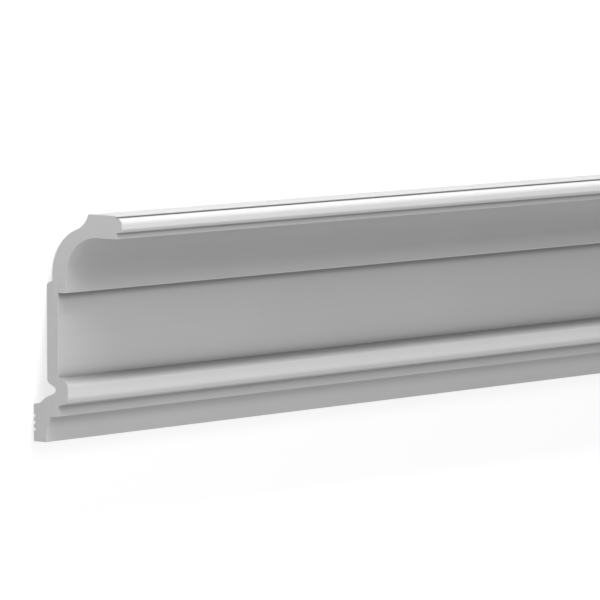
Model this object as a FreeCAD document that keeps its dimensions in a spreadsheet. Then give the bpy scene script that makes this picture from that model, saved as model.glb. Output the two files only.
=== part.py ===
import FreeCAD, Part
import Sketcher
import math
import os

# A cornice moulding, one straight length of rigid moulded foam with both ends sawn square.
# The section is drawn as the moulding is fixed: depth runs out of the wall, height runs up it.
# The finished length lies on its back on a level floor, so the body is turned about its length
# until the top edge of the foot and the shoulder behind the fascia both touch the floor.

SIZES = (
    ("length", "2000", "sold length"),
    ("rise", "150", "height against the wall"),
    ("lip_face", "73", "depth of the small upright face under the top bead"),
    ("lip_back", "48.6", "depth of the back edge of the ceiling face"),
    ("arris_shy", "0.7", "how far the round of the front top edge is centred behind that face"),
    ("arris_radius", "0.9", "rounded front top edge"),
    ("quirk_run", "0.8", "how deep the quirk over the top bead is undercut"),
    ("quirk_rise", "0.9", "height of the quirk over the top bead"),
    ("bead_land", "0.9", "level stretch between the small upright face and the top bead"),
    ("bead_radius", "3.9", "upper and lower quarter of the top bead"),
    ("bead_front", "1.4", "upright front between the two quarters"),
    ("lip_thickness", "15.1", "ceiling face down to the underside of the lip"),
    ("cove_radius", "26.2", "hollow of the cove"),
    ("step_height", "97.9", "underside of the step below the cove"),
    ("step_reach", "7.2", "how far the step stands out from the fascia"),
    ("nose_radius", "0.8", "rounded nose of the step"),
    ("fascia_face", "21.8", "depth of the flat fascia"),
    ("fascia_back", "12", "depth of the back of the fascia"),
    ("torus_top", "43.1", "upper quirk of the lower bead"),
    ("torus_reach", "8.6", "how far the lower bead stands out from the fascia"),
    ("crown_radius", "12.8", "wide upper round of the lower bead"),
    ("crown_drop", "4.8", "height of the wide upper round"),
    ("cheek_radius", "2.5", "tighter round from the upper round onto the front"),
    ("cheek_run", "0.5", "tighter round, outwards"),
    ("cheek_drop", "1.5", "tighter round, downwards"),
    ("torus_front", "5.8", "upright front of the lower bead"),
    ("torus_waist", "7.3", "lower round of the lower bead"),
    ("torus_drop", "3.7", "height of the lower round"),
    ("torus_tuck", "1", "how far the lower round draws in"),
    ("chin_radius", "1", "small round under the lower bead"),
    ("chin_reach", "0.7", "small round, outwards"),
    ("chin_rise", "0.9", "small round, upwards"),
    ("torus_foot", "24.3", "lower quirk of the lower bead"),
    ("fillet_foot", "17.4", "lower edge of the fillet under the bead"),
    ("cavetto_slip", "0.8", "how far the underside of the fillet drops inwards"),
    ("cavetto_reach", "3.8", "hollow front of the foot, outwards"),
    ("cavetto_radius", "30", "hollow front of the foot"),
    ("foot_thickness", "11", "foot at its lower edge"),
    ("foot_flat", "2", "upright edge of the foot"),
    ("foot_land", "24.5", "height of the glued back of the foot"),
    ("ledge_run", "5.6", "top of the foot, from its back"),
    ("ledge_rise", "0.9", "top of the foot, slope"),
    ("throat_run", "12.5", "bowed slope into the hollow behind the lower bead, inwards"),
    ("throat_rise", "7", "bowed slope into the hollow behind the lower bead, upwards"),
    ("throat_bow", "22", "bow of that slope"),
    ("throat_end_run", "3.1", "straight last stretch of that slope, inwards"),
    ("throat_end_rise", "1.5", "straight last stretch of that slope, upwards"),
    ("throat_half", "2.1", "half the height of the round end of the hollow"),
    ("throat_reach", "1.3", "how far the round end goes in"),
    ("throat_radius", "2.36", "round end of the hollow"),
    ("brow_run", "3.9", "slope out of the hollow, outwards"),
    ("brow_rise", "1.8", "slope out of the hollow, upwards"),
    ("brow_round", "3.8", "height of the round onto the back of the fascia"),
    ("brow_radius", "4.1", "round onto the back of the fascia"),
    ("shoulder_height", "102", "where the back of the fascia starts to round over"),
    ("shoulder_radius", "2.6", "shoulder behind the fascia"),
    ("shoulder_slope", "0.9", "slope of the top of the shoulder"),
    ("shell_back", "16.8", "depth of the back behind the cove"),
    ("shell_flat", "3.7", "upright stretch between the shoulder and the round behind the cove"),
    ("shell_radius", "31.5", "back behind the cove"),
    ("swan_run", "9.5", "reverse curve under the ceiling face, outwards"),
    ("swan_drop", "10", "reverse curve under the ceiling face, downwards"),
    ("swan_radius", "18", "reverse curve under the ceiling face"),
    ("groove_width", "2.9", "mouth of a glue groove"),
    ("groove_depth", "1.9", "glue groove"),
    ("groove_first", "7.9", "height of the lowest glue groove"),
    ("groove_pitch", "4.4", "spacing of the glue grooves"),
    ("groove_count", "3", "glue grooves"),
)

doc = FreeCAD.newDocument("CorniceMoulding")
sheet = doc.addObject("Spreadsheet::Sheet", "Sizes")
for row, (alias, value, words) in enumerate(SIZES, 1):
    sheet.set(f"A{row}", words)
    sheet.set(f"B{row}", value)
    sheet.setAlias(f"B{row}", alias)
doc.recompute()
sizes = {alias: float(value) for alias, value, words in SIZES}


def measure(words):
    """A sum of named sizes, as a value and as an expression on the sheet."""
    value = 0.0
    sign = 1
    text = []
    for word in words.split():
        if word in "+-":
            sign = -1 if word == "-" else 1
            text.append(word)
        else:
            value += sign * sizes[word]
            text.append("Sizes." + word)
    return value, " ".join(text)


class Outline:
    """A closed outline in a sketch, walked corner by corner from the origin."""

    def __init__(self, sketch):
        self.sketch = sketch
        self.place = ("", "")
        self.point = FreeCAD.Vector(0, 0, 0)
        self.count = 0

    def bind(self, kind, last, words):
        """Hold a corner's distance from the origin at a sum of named sizes."""
        value, text = measure(words)
        rule = self.sketch.addConstraint(Sketcher.Constraint(kind, -1, 1, self.count, last, value))
        self.sketch.setExpression(f"Constraints[{rule}]", text)

    def line(self, depth, height):
        """Straight to a corner; the same words as before keep the line upright or level."""
        target = FreeCAD.Vector(measure(depth)[0], measure(height)[0], 0)
        self.sketch.addGeometry(Part.LineSegment(self.point, target), False)
        self.join(1)
        if depth == self.place[0]:
            self.sketch.addConstraint(Sketcher.Constraint("Vertical", self.count))
        elif depth:
            self.bind("DistanceX", 2, depth)
        if height == self.place[1]:
            self.sketch.addConstraint(Sketcher.Constraint("Horizontal", self.count))
        elif height:
            self.bind("DistanceY", 2, height)
        self.step(target, 2, depth, height)

    def arc(self, depth, height, radius, side):
        """Round to a corner; side is 1 with the centre on the left of the way, -1 on the right."""
        target = FreeCAD.Vector(measure(depth)[0], measure(height)[0], 0)
        size = sizes[radius]
        chord = target - self.point
        across = FreeCAD.Vector(-chord.y, chord.x, 0).normalize()
        reach = math.sqrt(size ** 2 - (chord.Length / 2) ** 2)
        centre = self.point + chord * 0.5 + across * (side * reach)
        circle = Part.Circle(centre, FreeCAD.Vector(0, 0, 1), size)
        ends = [math.atan2(p.y - centre.y, p.x - centre.x) for p in (self.point, target)]
        start = ends[0] if side > 0 else ends[1]
        stop = ends[1] if side > 0 else ends[0]
        self.sketch.addGeometry(Part.ArcOfCircle(circle, start, stop), False)
        self.join(1 if side > 0 else 2)
        last = 2 if side > 0 else 1
        self.bind("DistanceX", last, depth)
        self.bind("DistanceY", last, height)
        rule = self.sketch.addConstraint(Sketcher.Constraint("Radius", self.count, size))
        self.sketch.setExpression(f"Constraints[{rule}]", "Sizes." + radius)
        self.step(target, last, depth, height)

    def join(self, first):
        """Join the new piece to the end of the one before, or the first one to the origin."""
        if self.count:
            rule = Sketcher.Constraint("Coincident", self.count - 1, self.last, self.count, first)
        else:
            rule = Sketcher.Constraint("Coincident", self.count, first, -1, 1)
        self.sketch.addConstraint(rule)

    def step(self, target, last, depth, height):
        """Stand on the corner just reached."""
        self.point = target
        self.place = (depth, height)
        self.last = last
        self.count += 1

    def close(self):
        """Straight back to the origin."""
        self.sketch.addGeometry(Part.LineSegment(self.point, FreeCAD.Vector(0, 0, 0)), False)
        self.join(1)
        self.sketch.addConstraint(Sketcher.Constraint("Coincident", self.count, 2, -1, 1))


body = doc.addObject("PartDesign::Body", "Moulding")
body.Label = "moulding"
planes = {feature.Role: feature for feature in body.Origin.OriginFeatures}


def section_sketch(name):
    """A sketch across the length, with depth to its right and height upwards."""
    sketch = body.newObject("Sketcher::SketchObject", name)
    sketch.AttachmentSupport = [(planes["YZ_Plane"], "")]
    sketch.MapMode = "FlatFace"
    doc.recompute()
    return sketch


section = section_sketch("Section")
walk = Outline(section)

# Foot: level underside, upright edge, then a shallow hollow that runs out under the fillet.
walk.line("foot_thickness", "")
walk.line("foot_thickness", "foot_flat")
walk.arc("foot_thickness + cavetto_reach", "fillet_foot - cavetto_slip", "cavetto_radius", -1)
walk.line("fascia_face", "fillet_foot")
walk.line("fascia_face", "torus_foot")

# Lower bead: sloping underside, small round, lower round, upright front, tight round and crown.
CHEEK_HEIGHT = "torus_top - crown_drop"
FRONT_TOP = CHEEK_HEIGHT + " - cheek_drop"
FRONT_FOOT = FRONT_TOP + " - torus_front"
TORUS_FACE = "fascia_face + torus_reach"
CHIN_DEPTH = TORUS_FACE + " - torus_tuck"
CHIN_HEIGHT = FRONT_FOOT + " - torus_drop"
walk.line(CHIN_DEPTH + " - chin_reach", CHIN_HEIGHT + " - chin_rise")
walk.arc(CHIN_DEPTH, CHIN_HEIGHT, "chin_radius", 1)
walk.arc(TORUS_FACE, FRONT_FOOT, "torus_waist", 1)
walk.line(TORUS_FACE, FRONT_TOP)
walk.arc(TORUS_FACE + " - cheek_run", CHEEK_HEIGHT, "cheek_radius", 1)
walk.arc("fascia_face", "torus_top", "crown_radius", 1)

# Flat fascia up to the step, whose nose is rounded, and an upright face that runs into the cove.
COVE_BACK = "fascia_face + step_reach"
SOFFIT = "rise - lip_thickness"
walk.line("fascia_face", "step_height")
walk.line(COVE_BACK + " - nose_radius", "step_height")
walk.arc(COVE_BACK, "step_height + nose_radius", "nose_radius", 1)
walk.line(COVE_BACK, SOFFIT + " - cove_radius")
walk.arc(COVE_BACK + " + cove_radius", SOFFIT, "cove_radius", -1)

# Lip: level soffit, small upright face, full bead, undercut quirk and rounded top edge.
ARRIS_CENTRE = "lip_face - arris_shy"
BEAD_TOP = "rise - arris_radius - quirk_rise"
BEAD_FOOT = BEAD_TOP + " - bead_radius - bead_front - bead_radius"
BEAD_FACE = "lip_face + bead_land + bead_radius"
walk.line("lip_face", SOFFIT)
walk.line("lip_face", BEAD_FOOT)
walk.line("lip_face + bead_land", BEAD_FOOT)
walk.arc(BEAD_FACE, BEAD_FOOT + " + bead_radius", "bead_radius", 1)
walk.line(BEAD_FACE, BEAD_TOP + " - bead_radius")
walk.arc("lip_face + bead_land", BEAD_TOP, "bead_radius", 1)
walk.line(ARRIS_CENTRE + " + arris_radius - quirk_run", BEAD_TOP)
walk.line(ARRIS_CENTRE + " + arris_radius", "rise - arris_radius")
walk.arc(ARRIS_CENTRE, "rise", "arris_radius", 1)
walk.line("lip_back", "rise")

# Back of the lip and of the cove: a reverse curve that swings into one large round.
walk.arc("lip_back - swan_run", "rise - swan_drop", "swan_radius", -1)
SHOULDER_TOP = "shoulder_height + shoulder_radius + shoulder_slope"
walk.arc("shell_back", SHOULDER_TOP + " + shell_flat", "shell_radius", 1)
walk.line("shell_back", SHOULDER_TOP)

# Back of the fascia, with its rounded shoulder and the hollow behind the lower bead.
THROAT_DEPTH = "ledge_run + throat_run"
THROAT_FOOT = "foot_land + ledge_rise + throat_rise"
THROAT_TOP = THROAT_FOOT + " + throat_half + throat_half"
walk.line("fascia_back + shoulder_radius", "shoulder_height + shoulder_radius")
walk.arc("fascia_back", "shoulder_height", "shoulder_radius", 1)
walk.line("fascia_back", THROAT_TOP + " + brow_rise + brow_round")
walk.arc(THROAT_DEPTH + " - brow_run", THROAT_TOP + " + brow_rise", "brow_radius", 1)
walk.line(THROAT_DEPTH, THROAT_TOP)
walk.arc(THROAT_DEPTH + " + throat_reach", THROAT_FOOT + " + throat_half", "throat_radius", -1)
walk.arc(THROAT_DEPTH, THROAT_FOOT, "throat_radius", -1)
walk.line(THROAT_DEPTH + " - throat_end_run", THROAT_FOOT + " - throat_end_rise")
walk.arc("ledge_run", "foot_land + ledge_rise", "throat_bow", 1)

# Top of the foot and its glued back.
walk.line("", "foot_land")
walk.close()
doc.recompute()

moulding = body.newObject("PartDesign::Pad", "Length")
moulding.Profile = section
moulding.Midplane = True
moulding.setExpression("Length", "Sizes.length")
doc.recompute()

# Glue grooves: one V cut along the whole length, then repeated up the back of the foot.
groove = section_sketch("GrooveSection")
low = sizes["groove_first"] - sizes["groove_width"] / 2
mouth = [FreeCAD.Vector(0, low, 0), FreeCAD.Vector(0, low + sizes["groove_width"], 0)]
bottom = FreeCAD.Vector(sizes["groove_depth"], sizes["groove_first"], 0)
groove.addGeometry(Part.LineSegment(mouth[0], bottom), False)
groove.addGeometry(Part.LineSegment(bottom, mouth[1]), False)
groove.addGeometry(Part.LineSegment(mouth[1], mouth[0]), False)
for first, second in ((0, 1), (1, 2), (2, 0)):
    groove.addConstraint(Sketcher.Constraint("Coincident", first, 2, second, 1))
groove.addConstraint(Sketcher.Constraint("PointOnObject", 2, 1, -2))
groove.addConstraint(Sketcher.Constraint("PointOnObject", 2, 2, -2))
groove.addConstraint(Sketcher.Constraint("Equal", 0, 1))
deep = groove.addConstraint(Sketcher.Constraint("DistanceX", -1, 1, 0, 2, sizes["groove_depth"]))
high = groove.addConstraint(Sketcher.Constraint("DistanceY", -1, 1, 0, 2, sizes["groove_first"]))
wide = groove.addConstraint(Sketcher.Constraint("DistanceY", 2, 2, 2, 1, sizes["groove_width"]))
groove.setExpression(f"Constraints[{deep}]", "Sizes.groove_depth")
groove.setExpression(f"Constraints[{high}]", "Sizes.groove_first")
groove.setExpression(f"Constraints[{wide}]", "Sizes.groove_width")
doc.recompute()

cut = body.newObject("PartDesign::Pocket", "Groove")
cut.Profile = groove
cut.Type = "ThroughAll"
cut.Midplane = True
doc.recompute()

grooves = body.newObject("PartDesign::LinearPattern", "Grooves")
grooves.Originals = [cut]
grooves.Direction = (groove, ["V_Axis"])
grooves.setExpression("Length", "Sizes.groove_pitch * (Sizes.groove_count - 1)")
grooves.setExpression("Occurrences", "Sizes.groove_count")
body.Tip = grooves
doc.recompute()

# At rest: the floor is the line from the top edge of the foot's back that just touches the
# shoulder. A quarter turn and that line's slope bring it level.
RUN = "(Sizes.shoulder_height - Sizes.foot_land)"
OUT = "(Sizes.fascia_back + Sizes.shoulder_radius)"
SLOPE = f"(atan({OUT} / {RUN}) - asin(Sizes.shoulder_radius / sqrt({OUT} ^ 2 + {RUN} ^ 2)))"
TOP = f"((Sizes.rise - Sizes.arris_radius) * cos({SLOPE}))"
WIDTH = f"({TOP} + (Sizes.lip_face - Sizes.arris_shy) * sin({SLOPE}) + Sizes.arris_radius)"
body.Placement = FreeCAD.Placement(FreeCAD.Vector(0, 0, 0), FreeCAD.Rotation(FreeCAD.Vector(1, 0, 0), 90))
body.setExpression("Placement.Rotation.Angle", f"90 deg + {SLOPE}")
body.setExpression("Placement.Base.y", f"{WIDTH} / 2")
body.setExpression("Placement.Base.z", f"Sizes.foot_land * sin({SLOPE})")
doc.recompute()

for item in doc.Objects:
    if "Invalid" in item.State or "Error" in item.State:
        raise RuntimeError(item.Name + " has failed")
if body.Shape.isNull() or not body.Shape.isValid() or len(body.Shape.Solids) != 1:
    raise RuntimeError("the moulding is not one sound solid")
shape = body.Shape.Solids[0]
before = moulding.Shape.Volume
triangle = sizes["groove_width"] * sizes["groove_depth"] / 2
taken = triangle * sizes["groove_count"] * sizes["length"]
if abs(before - shape.Volume - taken) > taken / 1000:
    raise RuntimeError("the glue grooves are not all cut")

box = shape.BoundBox
print("box", [round(v, 3) for v in (box.XMin, box.YMin, box.ZMin, box.XMax, box.YMax, box.ZMax)])
print("section", round(shape.Volume / sizes["length"], 1), "mm2, volume", round(shape.Volume / 1e6, 4), "dm3")
print("centre", [round(v, 2) for v in shape.CenterOfMass])
print("turn", round(math.degrees(body.Placement.Rotation.Angle), 3))

os.makedirs("parts", exist_ok=True)
shape.exportStep("parts/moulding.step")
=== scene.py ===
import math

import bpy
import numpy as np
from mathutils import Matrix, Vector


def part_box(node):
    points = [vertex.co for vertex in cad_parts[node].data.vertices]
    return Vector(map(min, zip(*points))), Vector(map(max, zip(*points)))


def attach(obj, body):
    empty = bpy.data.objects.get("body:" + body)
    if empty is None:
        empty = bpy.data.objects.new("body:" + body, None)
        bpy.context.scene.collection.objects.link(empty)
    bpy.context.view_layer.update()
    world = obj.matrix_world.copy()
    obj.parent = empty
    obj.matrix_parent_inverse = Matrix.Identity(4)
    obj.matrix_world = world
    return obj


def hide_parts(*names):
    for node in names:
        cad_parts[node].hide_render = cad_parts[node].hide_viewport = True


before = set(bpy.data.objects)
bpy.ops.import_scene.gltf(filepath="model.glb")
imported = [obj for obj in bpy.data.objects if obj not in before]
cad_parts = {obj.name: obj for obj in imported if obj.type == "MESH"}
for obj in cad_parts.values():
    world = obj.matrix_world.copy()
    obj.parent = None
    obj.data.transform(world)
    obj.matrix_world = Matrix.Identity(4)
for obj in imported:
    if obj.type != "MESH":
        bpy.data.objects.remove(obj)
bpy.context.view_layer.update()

# The moulding: one length of cornice moulded in dense rigid foam, primed all round and then
# sawn square at both ends. It lies on its back, front face up, resting on the heel of the
# foot and on the shoulder behind the fascia.

# The section in millimetres, walked from the foot's corner up the front, over the lip and
# down the back. Each row is depth out of the wall, height, and the radius of the arc that
# leads to the next row: 0 is straight, above 0 swells out, below 0 is hollowed.
SECTION = np.array([
    (0.0, 0.0, 0.0), (11.0, 0.0, 0.0), (11.0, 2.0, -30.0), (14.8, 16.6, 0.0),
    (21.8, 17.4, 0.0), (21.8, 24.3, 0.0), (28.7, 26.4, 1.0), (29.4, 27.3, 7.3),
    (30.4, 31.0, 0.0), (30.4, 36.8, 2.5), (29.9, 38.3, 12.8), (21.8, 43.1, 0.0),
    (21.8, 97.9, 0.0), (28.2, 97.9, 0.8), (29.0, 98.7, 0.0), (29.0, 108.7, -26.2),
    (55.2, 134.9, 0.0), (73.0, 134.9, 0.0), (73.0, 139.0, 0.0), (74.7, 139.0, 3.1),
    (77.7, 142.1, 0.0), (77.7, 144.3, 3.9), (73.9, 148.2, 0.0), (72.6, 148.2, 0.0),
    (73.1, 149.2, 0.8), (72.3, 150.0, 0.0), (48.6, 150.0, -18.0), (39.1, 140.0, 31.5),
    (16.8, 109.2, 0.0), (16.8, 105.5, 0.0), (14.6, 104.6, 2.6), (12.0, 102.0, 0.0),
    (12.0, 42.2, 4.1), (14.2, 38.4, 0.0), (18.1, 36.6, -2.36), (19.4, 34.5, -2.36),
    (18.1, 32.4, 0.0), (15.0, 30.9, 22.0), (5.6, 25.4, 0.0), (0.0, 24.5, 0.0),
    (0.0, 18.15, 0.0), (1.9, 16.7, 0.0), (0.0, 15.25, 0.0),
    (0.0, 13.75, 0.0), (1.9, 12.3, 0.0), (0.0, 10.85, 0.0),
    (0.0, 9.35, 0.0), (1.9, 7.9, 0.0), (0.0, 6.45, 0.0)])
SLOPE = math.radians(8.7795)      # lean of the wall face while the length lies on the floor
MM = 1000.0                       # millimetres to a metre
ARRIS = 0.18                      # softening of every arris by paint, in mm
EASE = 0.1                        # the saw cut's arris, rubbed down by this many mm
STEP = 0.05                       # spacing of the fine walk, in mm
WIDEST = 2.2                      # widest gap between two points of the outline, in mm
SHARPEST = math.radians(5.0)      # sharpest turn from one point of the outline to the next
BEND_REACH = 0.4                  # how far a bend also crowds the points beside it, in mm
BEND_SHARE = 0.35                 # and how strongly
END_STATIONS = (0.0, EASE, 1.0, 4.0, 9.0, 16.0, 26.0, 38.0, 54.0)  # mm from a sawn end
FIRST_STATION = 74.0              # where the even stations between the ends begin, in mm
STATION_GAP = 42.0                # and how far apart they are
CEILING_GLUE = (149.3, 149.8)     # height over which the ceiling face's darker tone sets in
WALL_GLUE = (0.5, 0.1)            # depth over which the wall face's darker tone sets in
SIGHT = 150.0                     # what stands farther off than this many mm shades nothing
SIGHT_LINES = 240                 # directions in which each point of the section looks
OWN_FACE = 0.005                  # a face met nearer than this many mm is the point's own


def walk(rows):
    """The section as closely spaced points. Between two rows a point moves along the chord
    and is pushed aside by the sagitta of the row's arc: the circle's height over the chord."""
    runs = []
    for start, end in zip(rows, np.roll(rows, -1, 0)):
        chord = end[:2] - start[:2]
        length = math.hypot(*chord)
        along = np.linspace(0.0, 1.0, max(2, math.ceil(length / STEP)), endpoint=False)
        points = start[:2] + along[:, None] * chord
        if start[2]:
            radius = abs(start[2])
            half = length / 2
            drop = math.sqrt(radius**2 - half**2)
            rise = np.sqrt(radius**2 - (half * (2 * along - 1))**2) - drop
            aside = np.array([chord[1], -chord[0]]) / length * np.sign(start[2])
            points = points + rise[:, None] * aside
        runs.append(points)
    return np.concatenate(runs)


def evenly(points, spacing):
    """A closed line's points, set again at equal distances along it."""
    closed = np.vstack([points, points[:1]])
    travelled = np.concatenate([[0.0], np.cumsum(np.hypot(*np.diff(closed, axis=0).T))])
    count = round(travelled[-1] / spacing)
    at = np.arange(count) * travelled[-1] / count
    return np.stack([np.interp(at, travelled, closed[:, k]) for k in (0, 1)], 1)


def bell(reach, widths, spacing):
    """Weights on a bell curve of this reach, out to so many reaches on either side."""
    offsets = np.arange(-widths * reach, widths * reach + spacing / 2, spacing)
    weights = np.exp(-0.5 * (offsets / reach)**2)
    return weights / weights.sum()


def averaged(values, weights):
    """Values round a closed line, each replaced by the weighted mean of its neighbours."""
    pad = len(weights) // 2
    around = np.pad(values, (pad, len(weights) - 1 - pad), mode="wrap")
    return np.convolve(around, weights, "valid")


def softened(points, reach, spacing):
    """A closed line averaged along itself with a bell curve as wide as reach, which rounds
    each arris and leaves straight and gently curved faces where they are."""
    weights = bell(reach, 4, spacing)
    return np.stack([averaged(points[:, k], weights) for k in (0, 1)], 1)


def thinned(points, spacing):
    """The points of a fine closed line that a mesh needs. Each fine step adds its share of
    WIDEST, its turn's share of SHARPEST, and a part of the turns near it. One point is kept
    each time that this sum has grown by one."""
    ahead = np.roll(points, -1, 0) - points
    heading = np.arctan2(ahead[:, 1], ahead[:, 0])
    turn = np.abs((heading - np.roll(heading, 1) + math.pi) % (2 * math.pi) - math.pi)
    near = averaged(turn, bell(BEND_REACH, 3, spacing))
    need = spacing / WIDEST + (turn + BEND_SHARE * near) / SHARPEST
    total = np.concatenate([[0.0], np.cumsum(need)])
    count = math.ceil(total[-1])
    at = np.interp(np.arange(count) * total[-1] / count, total, np.arange(len(total)))
    return points[np.unique(at.astype(int) % len(points))]


def openness(points, outward, to_ends):
    """How much of its surroundings each point sees, from 0 to 1, weighted by slant as a matt
    face weighs light. to_ends holds the distances from each station to the two sawn ends.
    The sight lines across the length each stop at the nearest face of the section. A line
    that also leans along the length is free if it passes a sawn end first or is longer than
    SIGHT; past a lean of a, such lines hold 1/2 - (a + sin a cos a) / pi of all of them."""
    limits = np.linspace(-0.5, 0.5, SIGHT_LINES + 1) * math.pi
    seen = np.zeros((len(to_ends), len(points)))
    for angle, weight in zip((limits[1:] + limits[:-1]) / 2, np.diff(np.sin(limits)) / 2):
        heading = outward * math.cos(angle) + outward[:, ::-1] * (-1.0, 1.0) * math.sin(angle)
        beside = heading[:, ::-1] * (-1.0, 1.0)
        ahead = heading @ points.T - (heading * points).sum(1)[:, None]
        aside = beside @ points.T - (beside * points).sum(1)[:, None]
        row, this = np.nonzero(aside * np.roll(aside, -1, 1) < 0.0)
        after = (this + 1) % len(points)
        left, right = aside[row, this], aside[row, after]
        met = (ahead[row, this] * right - ahead[row, after] * left) / (right - left)
        away = met > OWN_FACE
        nearest = np.full(len(points), np.inf)
        np.minimum.at(nearest, row[away], met[away])
        longest = np.arccos(np.minimum(nearest / SIGHT, 1.0))
        for to_end in to_ends.T:
            lean = np.minimum(np.arctan2(to_end[:, None], nearest), longest)
            seen += weight * (0.5 - (lean + np.sin(lean) * np.cos(lean)) / math.pi)
    return seen


outline = thinned(softened(evenly(walk(SECTION), STEP), ARRIS, STEP), STEP)

# The skin: the outline at every station along the length. The two outermost stations are
# drawn in along the outline's own normal, which is the eased arris of the saw cut.
low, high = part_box("moulding")
tangent = np.roll(outline, -1, 0) - np.roll(outline, 1, 0)
outward = np.stack([tangent[:, 1], -tangent[:, 0]], 1) / np.hypot(*tangent.T)[:, None]
half_run = (high.x - low.x) / 2 * MM
from_end = np.concatenate([END_STATIONS, np.arange(FIRST_STATION, half_run, STATION_GAP)])
stations = np.concatenate([-half_run + from_end, half_run - from_end[::-1]])
drawn_in = np.where(np.abs(stations) > half_run - EASE / 2, EASE, 0.0)
rings = outline[None] - drawn_in[:, None, None] * outward[None]
depth, height = rings[..., 0], rings[..., 1]
across = -height * math.cos(SLOPE) - depth * math.sin(SLOPE)
above = -height * math.sin(SLOPE) + depth * math.cos(SLOPE)
across += (low.y + high.y) / 2 * MM - (across.max() + across.min()) / 2
above -= above.min()
along = np.broadcast_to(stations[:, None], across.shape)
places = np.stack([along, across, above], -1).reshape(-1, 3) / MM

count = len(outline)
grid = np.arange(len(stations) * count).reshape(len(stations), count)
beside = np.roll(grid, -1, 1)
quads = np.stack([grid[:-1], beside[:-1], beside[1:], grid[1:]], -1).reshape(-1, 4)
mesh = bpy.data.meshes.new("primed_moulding")
mesh.from_pydata(places, [], quads.tolist() + [grid[0, ::-1].tolist(), grid[-1].tolist()])
mesh.polygons.foreach_set("use_smooth", np.ones(len(mesh.polygons), bool))
edge_ends = np.zeros(len(mesh.edges) * 2, int)
mesh.edges.foreach_get("vertices", edge_ends)
ring_of = edge_ends.reshape(-1, 2) // count
rim = (ring_of[:, 0] == ring_of[:, 1]) & np.isin(ring_of[:, 0], (0, len(stations) - 1))
mesh.attributes.new("sharp_edge", "BOOLEAN", "EDGE").data.foreach_set("value", rim)

# What the finish needs to know of each place: whether it is sawn, whether it is glued to the
# ceiling or the wall, and how open it lies, which sets the shade painted into its colour.
sawn = np.zeros(len(mesh.polygons), np.float32)
sawn[-2:] = 1.0
glued = np.maximum(np.interp(outline[:, 1], CEILING_GLUE, (0.0, 1.0)),
                   np.interp(-outline[:, 0], (-WALL_GLUE[0], -WALL_GLUE[1]), (0.0, 1.0)))
seen = openness(outline, outward, np.stack([half_run + stations, half_run - stations], 1))
for name, domain, values in (("sawn", "FACE", sawn),
                             ("glued", "POINT", np.tile(glued, len(stations))),
                             ("open", "POINT", seen.ravel())):
    mesh.attributes.new(name, "FLOAT", domain).data.foreach_set(
        "value", values.astype(np.float32))
mesh.update()
moulding = bpy.data.objects.new("primed_moulding", mesh)
bpy.context.scene.collection.objects.link(moulding)

# Its finish: a thin matt primer, a light grey white, faintly uneven and with the fine stipple
# and the drawing lines that it leaves on foam. The faces that are glued to ceiling and wall
# are a little darker, and the sawn ends show the foam's small closed cells. Shade is painted
# into the colour: it darkens the hollows and creases, where the piece sees less of its
# surroundings.
FULL_COAT = ((0.655, 0.656, 0.655, 1.0), (0.695, 0.695, 0.693, 1.0))   # darkest and lightest
GLUED_FACE_TONE = ((0.530, 0.531, 0.529, 1.0), (0.575, 0.575, 0.572, 1.0))
BARE_FOAM = ((0.618, 0.619, 0.617, 1.0), (0.658, 0.658, 0.656, 1.0))
NO_LIGHT = (0.0, 0.0, 0.0, 1.0)
GRADE = (0.30, 0.70)              # the values at which a colour is darkest and lightest
PAINTED_SHADE_POWER = 1.25                # the power of the openness by which the painted shade deepens
CLOUDS = 14.0                     # soft uneven patches to a metre
STIPPLE = 900.0                   # specks of the stipple to a metre
DRAWING_LINES = 260.0             # lines to a metre, counted across them
ALONG_THE_LENGTH = (0.01, 1.0, 1.0)   # draws them out 100 times along the length
SAW_MARKS = 420.0                 # marks to a metre, counted across them
UP_THE_CUT = (1.0, 1.0, 0.06)     # draws them out about 17 times, straight up the sawn end
CELLS = 1600.0                    # foam cells to a metre
ROUGHNESS = (0.56, 0.68)          # smoothest and roughest
PRIMER_IOR = 1.46                 # refractive index of the dried primer
RELIEF_SHARE = 0.35               # how strongly the fine relief shows
RELIEF_DEPTH = 0.00006            # and how deep it is, in metres
primer = bpy.data.materials.new("primer_on_foam")
primer.use_nodes = True
nodes = primer.node_tree.nodes
links = primer.node_tree.links
shader = nodes["Principled BSDF"]
shader.inputs["IOR"].default_value = PRIMER_IOR
coordinates = nodes.new("ShaderNodeTexCoord")


def kept_on_mesh(name):
    """The value of this name that the mesh holds."""
    attribute = nodes.new("ShaderNodeAttribute")
    attribute.attribute_name = name
    return attribute.outputs["Fac"]


def stretched(scale):
    """Object coordinates multiplied by scale, one factor for each axis."""
    mapping = nodes.new("ShaderNodeMapping")
    mapping.inputs["Scale"].default_value = scale
    links.new(coordinates.outputs["Object"], mapping.inputs["Vector"])
    return mapping.outputs["Vector"]


def noise(scale, detail, stretch=(1.0, 1.0, 1.0)):
    """Soft random values about 0.5, scale of them to a metre."""
    texture = nodes.new("ShaderNodeTexNoise")
    texture.inputs["Scale"].default_value = scale
    texture.inputs["Detail"].default_value = detail
    links.new(stretched(stretch), texture.inputs["Vector"])
    return texture.outputs["Fac"]


def sum_of(*parts):
    """The parts' values, each multiplied by its share, added up."""
    total = None
    for value, share in parts:
        term = nodes.new("ShaderNodeMath")
        term.operation = "MULTIPLY_ADD"
        links.new(value, term.inputs[0])
        term.inputs[1].default_value = share
        term.inputs[2].default_value = 0.0
        if total:
            links.new(total, term.inputs[2])
        total = term.outputs["Value"]
    return total


def either(on_skin, on_cut):
    """The first value on the primed skin and the second on the sawn ends."""
    choice = nodes.new("ShaderNodeMix")
    links.new(cut, choice.inputs["Factor"])
    links.new(on_skin, choice.inputs["A"])
    links.new(on_cut, choice.inputs["B"])
    return choice.outputs["Result"]


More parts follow.
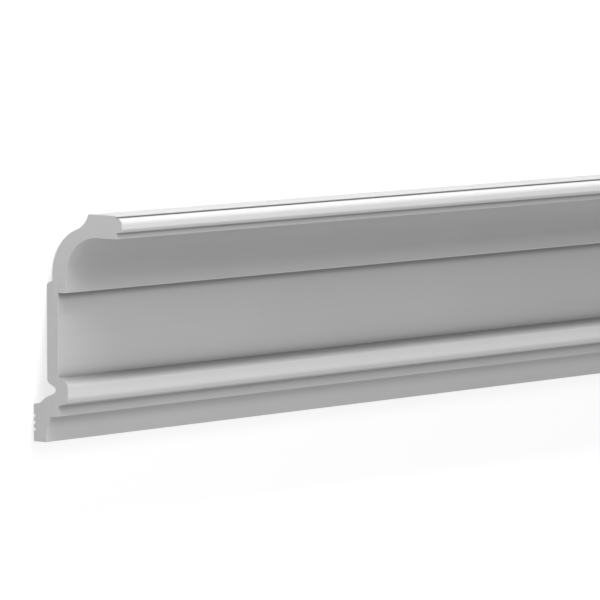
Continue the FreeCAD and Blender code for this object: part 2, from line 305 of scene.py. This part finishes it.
def graded(value, shades):
    """A colour between two shades, as the value goes through GRADE."""
    ramp = nodes.new("ShaderNodeValToRGB")
    for stop, position, shade in zip(ramp.color_ramp.elements, GRADE, shades):
        stop.position = position
        stop.color = shade
    links.new(value, ramp.inputs["Fac"])
    return ramp.outputs["Color"]


def blended(share, first, second):
    """The first colour where share is 0, the second where it is 1."""
    blend = nodes.new("ShaderNodeMix")
    blend.data_type = "RGBA"
    links.new(share, blend.inputs["Factor"])
    for socket, colour in ((blend.inputs[6], first), (blend.inputs[7], second)):
        if isinstance(colour, tuple):
            socket.default_value = colour
        else:
            links.new(colour, socket)
    return blend.outputs[2]


cut = kept_on_mesh("sawn")
voronoi = nodes.new("ShaderNodeTexVoronoi")
voronoi.inputs["Scale"].default_value = CELLS
links.new(stretched((1.0, 1.0, 1.0)), voronoi.inputs["Vector"])
cells = voronoi.outputs["Distance"]
clouds = noise(CLOUDS, 3.0)
stipple = noise(STIPPLE, 2.0)
drawing_lines = noise(DRAWING_LINES, 3.0, ALONG_THE_LENGTH)
saw_marks = noise(SAW_MARKS, 2.0, UP_THE_CUT)

unevenness = sum_of((clouds, 0.55), (stipple, 0.25), (drawing_lines, 0.20))
grain = sum_of((clouds, 0.40), (cells, 0.45), (saw_marks, 0.30))
# The faces glued to ceiling and wall are given a darker tone.
coat = blended(kept_on_mesh("glued"), graded(unevenness, FULL_COAT),
               graded(unevenness, GLUED_FACE_TONE))
tone = blended(cut, coat, graded(grain, BARE_FOAM))
# Painted shade: the colour falls towards NO_LIGHT as the openness falls, so the hollows and
# creases are painted dark. The sawn ends count as fully open and get none.
open_or_cut = nodes.new("ShaderNodeMath")
open_or_cut.operation = "MAXIMUM"
links.new(kept_on_mesh("open"), open_or_cut.inputs[0])
links.new(cut, open_or_cut.inputs[1])
painted_shade = nodes.new("ShaderNodeMath")
painted_shade.operation = "POWER"
painted_shade.inputs[1].default_value = PAINTED_SHADE_POWER
links.new(open_or_cut.outputs["Value"], painted_shade.inputs[0])
links.new(blended(painted_shade.outputs["Value"], NO_LIGHT, tone), shader.inputs["Base Color"])

gloss = nodes.new("ShaderNodeMapRange")
gloss.inputs["To Min"].default_value = ROUGHNESS[0]
gloss.inputs["To Max"].default_value = ROUGHNESS[1]
links.new(either(sum_of((clouds, 0.6), (stipple, 0.4)), sum_of((clouds, 0.1), (stipple, 1.3))),
          gloss.inputs["Value"])
links.new(gloss.outputs["Result"], shader.inputs["Roughness"])

relief = nodes.new("ShaderNodeBump")
relief.inputs["Strength"].default_value = RELIEF_SHARE
relief.inputs["Distance"].default_value = RELIEF_DEPTH
links.new(either(sum_of((stipple, 0.7), (drawing_lines, 0.5)),
                 sum_of((cells, 1.6), (saw_marks, 0.8))),
          relief.inputs["Height"])
links.new(relief.outputs["Normal"], shader.inputs["Normal"])

mesh.materials.append(primer)
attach(moulding, "root")
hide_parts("moulding")

# The floor: a wide sheet of white studio paper. The lens sees it as plain white with the
# moulding's shadow laid over it, and as white alone farther out; to the light it is paper.
FLOOR_REACH = 9.0                 # metres from the middle to each side
PAPER = 0.80                      # the share of the light that the paper gives back
SHADE_SHARE = 0.45                # how much of the paper's real shading the lens sees
PAPER_GLOW = 1.38                 # makes up the rest, to plain white where nothing shades it
SHADE_REACH = (1.2, 1.9)          # metres from the middle, between which the shading fades


def seen_by_lens(nodes, links):
    """1 on rays that reach the lens straight, by gloss or through glass, and 0 on others:
    the largest of the three marks."""
    rays = nodes.new("ShaderNodeLightPath")
    mark = rays.outputs["Is Camera Ray"]
    for other in ("Is Glossy Ray", "Is Transmission Ray"):
        larger = nodes.new("ShaderNodeMath")
        larger.operation = "MAXIMUM"
        links.new(mark, larger.inputs[0])
        links.new(rays.outputs[other], larger.inputs[1])
        mark = larger.outputs["Value"]
    return mark


floor_mesh = bpy.data.meshes.new("studio_floor")
floor_corners = np.array([(-1, -1, 0), (1, -1, 0), (1, 1, 0), (-1, 1, 0)]) * FLOOR_REACH
floor_mesh.from_pydata(floor_corners, [], [(0, 1, 2, 3)])
floor = bpy.data.objects.new("studio_floor", floor_mesh)
bpy.context.scene.collection.objects.link(floor)
paper = bpy.data.materials.new("studio_paper")
paper.use_nodes = True
nodes = paper.node_tree.nodes
links = paper.node_tree.links
nodes.clear()
matt = nodes.new("ShaderNodeBsdfDiffuse")
matt.inputs["Color"].default_value = (PAPER, PAPER, PAPER, 1.0)
bare = nodes.new("ShaderNodeEmission")
bare.inputs["Strength"].default_value = PAPER_GLOW
shown = nodes.new("ShaderNodeMixShader")
shown.inputs["Fac"].default_value = SHADE_SHARE
spot = nodes.new("ShaderNodeTexCoord")
from_middle = nodes.new("ShaderNodeVectorMath")
from_middle.operation = "LENGTH"
links.new(spot.outputs["Object"], from_middle.inputs[0])
farther = nodes.new("ShaderNodeMapRange")
farther.interpolation_type = "SMOOTHSTEP"
farther.inputs["From Min"].default_value = SHADE_REACH[0]
farther.inputs["From Max"].default_value = SHADE_REACH[1]
links.new(from_middle.outputs["Value"], farther.inputs["Value"])
white = nodes.new("ShaderNodeEmission")
faded = nodes.new("ShaderNodeMixShader")
choose = nodes.new("ShaderNodeMixShader")
surface = nodes.new("ShaderNodeOutputMaterial")
links.new(bare.outputs["Emission"], shown.inputs[1])
links.new(matt.outputs["BSDF"], shown.inputs[2])
links.new(farther.outputs["Result"], faded.inputs["Fac"])
links.new(shown.outputs["Shader"], faded.inputs[1])
links.new(white.outputs["Emission"], faded.inputs[2])
links.new(seen_by_lens(nodes, links), choose.inputs["Fac"])
links.new(matt.outputs["BSDF"], choose.inputs[1])
links.new(faded.outputs["Shader"], choose.inputs[2])
links.new(choose.outputs["Shader"], surface.inputs["Surface"])
floor_mesh.materials.append(paper)

# The studio light: long soft boxes beside the length, two small ones near the cut end, and a
# gridded strip on the foot's side for the half beyond the picture. Each row is a name, the
# box's place along the length and the place it is turned to, its distance, its lean in
# degrees from straight over the wall face towards the lip (below 0, towards the foot), its
# width and height, its spread in degrees and its watts. Lengths are in metres.
BOXES = (
    ("strip_beyond_the_lip", 0.0, 0.0, 3.0, 65.0, 6.0, 0.22, 180.0, 110.0),
    ("box_over_the_lip", 0.0, 0.0, 3.0, 34.0, 6.0, 1.1, 180.0, 13.5),
    ("strip_beyond_the_foot", -1.4, -1.4, 2.2, -83.0, 2.8, 0.4, 90.0, 8.0),
    ("box_near_the_cut", 1.35, 0.75, 1.3, 28.0, 0.7, 0.5, 180.0, 4.3),
    ("box_near_the_foot", 1.35, 0.75, 1.3, -45.0, 0.7, 0.5, 180.0, 3.5),
)
LIT_HEIGHT = 0.03                 # the height that the boxes are turned to, in metres
for name, along, turned_to, distance, lean, width, tall, spread, watts in BOXES:
    lamp = bpy.data.lights.new(name, "AREA")
    lamp.shape = "RECTANGLE"
    lamp.size = width
    lamp.size_y = tall
    lamp.spread = math.radians(spread)
    lamp.energy = watts
    stand = bpy.data.objects.new(name, lamp)
    bpy.context.scene.collection.objects.link(stand)
    turn = SLOPE + math.radians(lean)
    away = Vector((along - turned_to, -distance * math.sin(turn), distance * math.cos(turn)))
    stand.location = Vector((turned_to, 0.0, LIT_HEIGHT)) + away
    stand.rotation_euler = (-away).to_track_quat("-Z", "Y").to_euler()

# The room: an even glow on the moulding, and plain white behind it for the lens.
ROOM = 0.285                      # strength of the glow
WHITE = (1.0, 1.0, 1.0, 1.0)
world = bpy.data.worlds.new("studio_room")
world.use_nodes = True
nodes = world.node_tree.nodes
links = world.node_tree.links
nodes.clear()
glow = nodes.new("ShaderNodeBackground")
glow.inputs["Color"].default_value = WHITE
glow.inputs["Strength"].default_value = ROOM
backdrop = nodes.new("ShaderNodeBackground")
backdrop.inputs["Color"].default_value = WHITE
choose = nodes.new("ShaderNodeMixShader")
sky = nodes.new("ShaderNodeOutputWorld")
links.new(seen_by_lens(nodes, links), choose.inputs["Fac"])
links.new(glow.outputs["Background"], choose.inputs[1])
links.new(backdrop.outputs["Background"], choose.inputs[2])
links.new(choose.outputs["Shader"], sky.inputs["Surface"])
bpy.context.scene.world = world

# The camera: a long lens from the sawn end's side and above, where the photograph stood.
LENS = 324.0                      # focal length, in mm
SENSOR = 36.0                     # width of the picture in the camera, in mm
CAMERA_PLACE = (3.553104, -0.669505, 2.303004)     # metres
CAMERA_TURN = (-0.319691, -0.854885, -2.963099)    # radians about x, y and z
camera_data = bpy.data.cameras.new("camera")
camera_data.lens = LENS
camera_data.sensor_width = SENSOR
camera = bpy.data.objects.new("camera", camera_data)
camera.location = CAMERA_PLACE
camera.rotation_euler = CAMERA_TURN
bpy.context.scene.collection.objects.link(camera)
bpy.context.scene.camera = camera
bpy.context.scene.view_settings.view_transform = "Standard"
